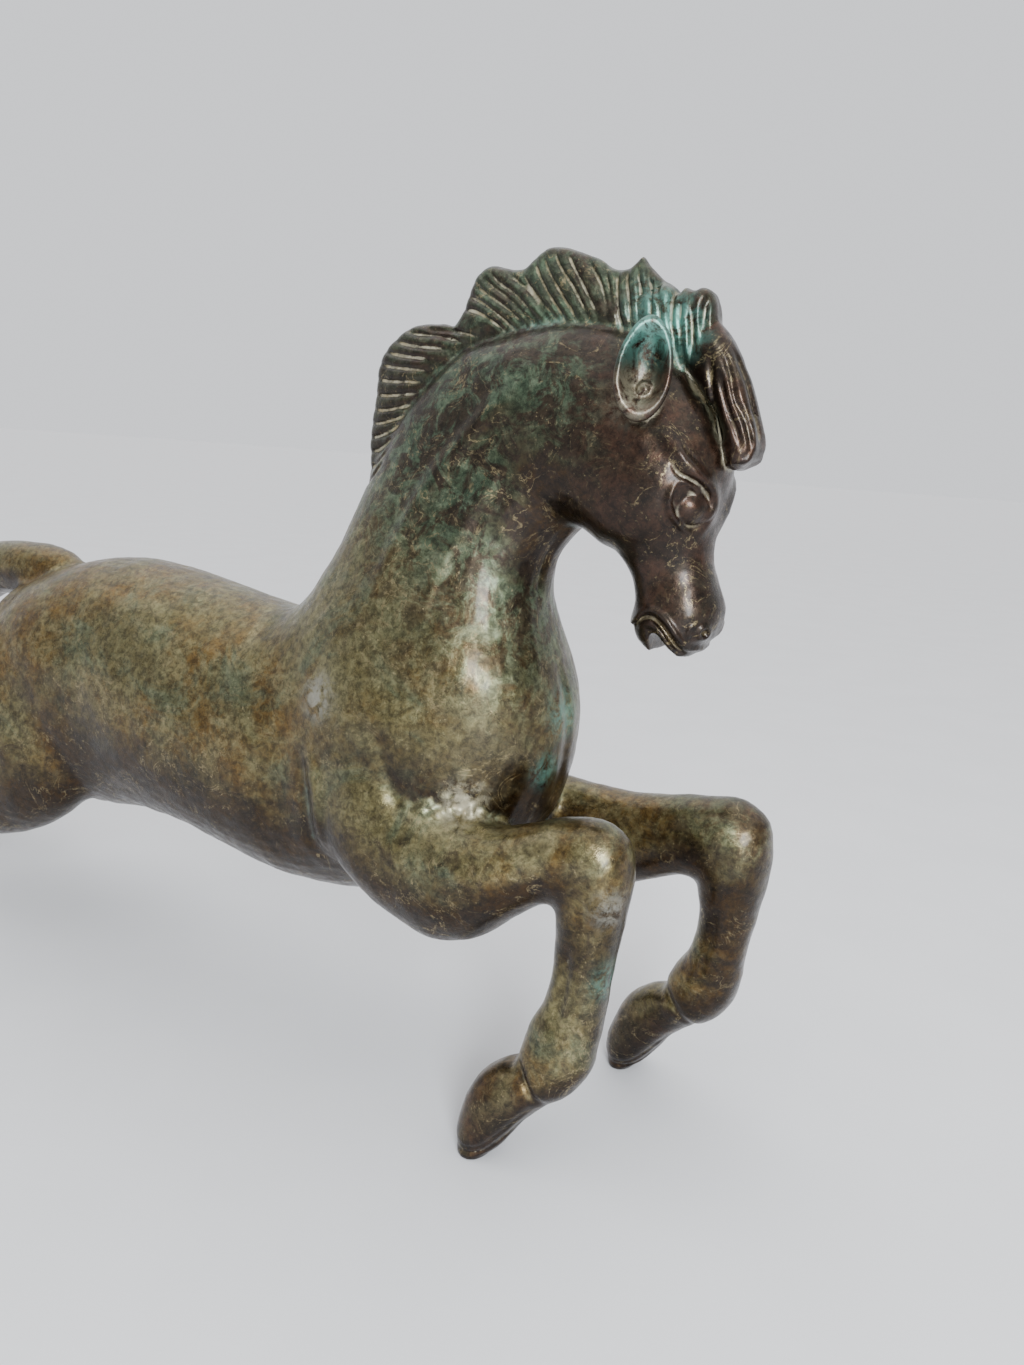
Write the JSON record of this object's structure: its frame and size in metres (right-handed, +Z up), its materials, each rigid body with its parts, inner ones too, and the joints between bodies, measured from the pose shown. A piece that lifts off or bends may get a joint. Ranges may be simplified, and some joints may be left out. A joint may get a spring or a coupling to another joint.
{
  "type": "horse statue",
  "caption": "Leaping horse statue in patinated cast bronze, resting on the tips of its hooves, with a comb-like mane, a hanging forelock and an arched tail.",
  "frame": {"origin": "on the table, under the middle of the figure's bounding box", "axes": "+X forward, the way the horse leaps; +Y to its left; +Z up"},
  "size_m": [0.4236, 0.0828, 0.258],
  "materials": {
    "body_bronze": "satin green and brown verdigris patina over bronze",
    "dark_bronze": "dark brown patina, rubbed glossy",
    "mane_bronze": "dark bronze with turquoise and cream verdigris in the grooves",
    "hoof_bronze": "dark worn bronze",
    "plug_bronze": "filed flush and patinated",
    "joining_bronze": "bare cast and turned bronze"
  },
  "bodies": {
    "root": {"head_casting": "dark_bronze", "neck_casting": "body_bronze", "forequarter_casting": "body_bronze", "barrel_casting": "body_bronze", "hindquarter_casting": "body_bronze", "right_foreleg": "body_bronze", "left_foreleg": "body_bronze", "right_hindleg": "body_bronze", "left_hindleg": "body_bronze", "right_fore_sole": "hoof_bronze", "left_fore_sole": "hoof_bronze", "right_hind_sole": "hoof_bronze", "left_hind_sole": "hoof_bronze", "tail": "body_bronze", "right_ear": "dark_bronze", "left_ear": "dark_bronze", "ear_rivets": "joining_bronze", "mane_back": "mane_bronze", "mane_front": "mane_bronze", "topknot": "mane_bronze", "forelock": "dark_bronze", "head_sleeve": "joining_bronze", "neck_sleeve": "joining_bronze", "shoulder_sleeve": "joining_bronze", "loin_sleeve": "joining_bronze", "sleeve_pins": "joining_bronze", "leg_keys": "joining_bronze", "mane_dowels": "joining_bronze", "core_pins": "plug_bronze"}
  },
  "joints": []
}
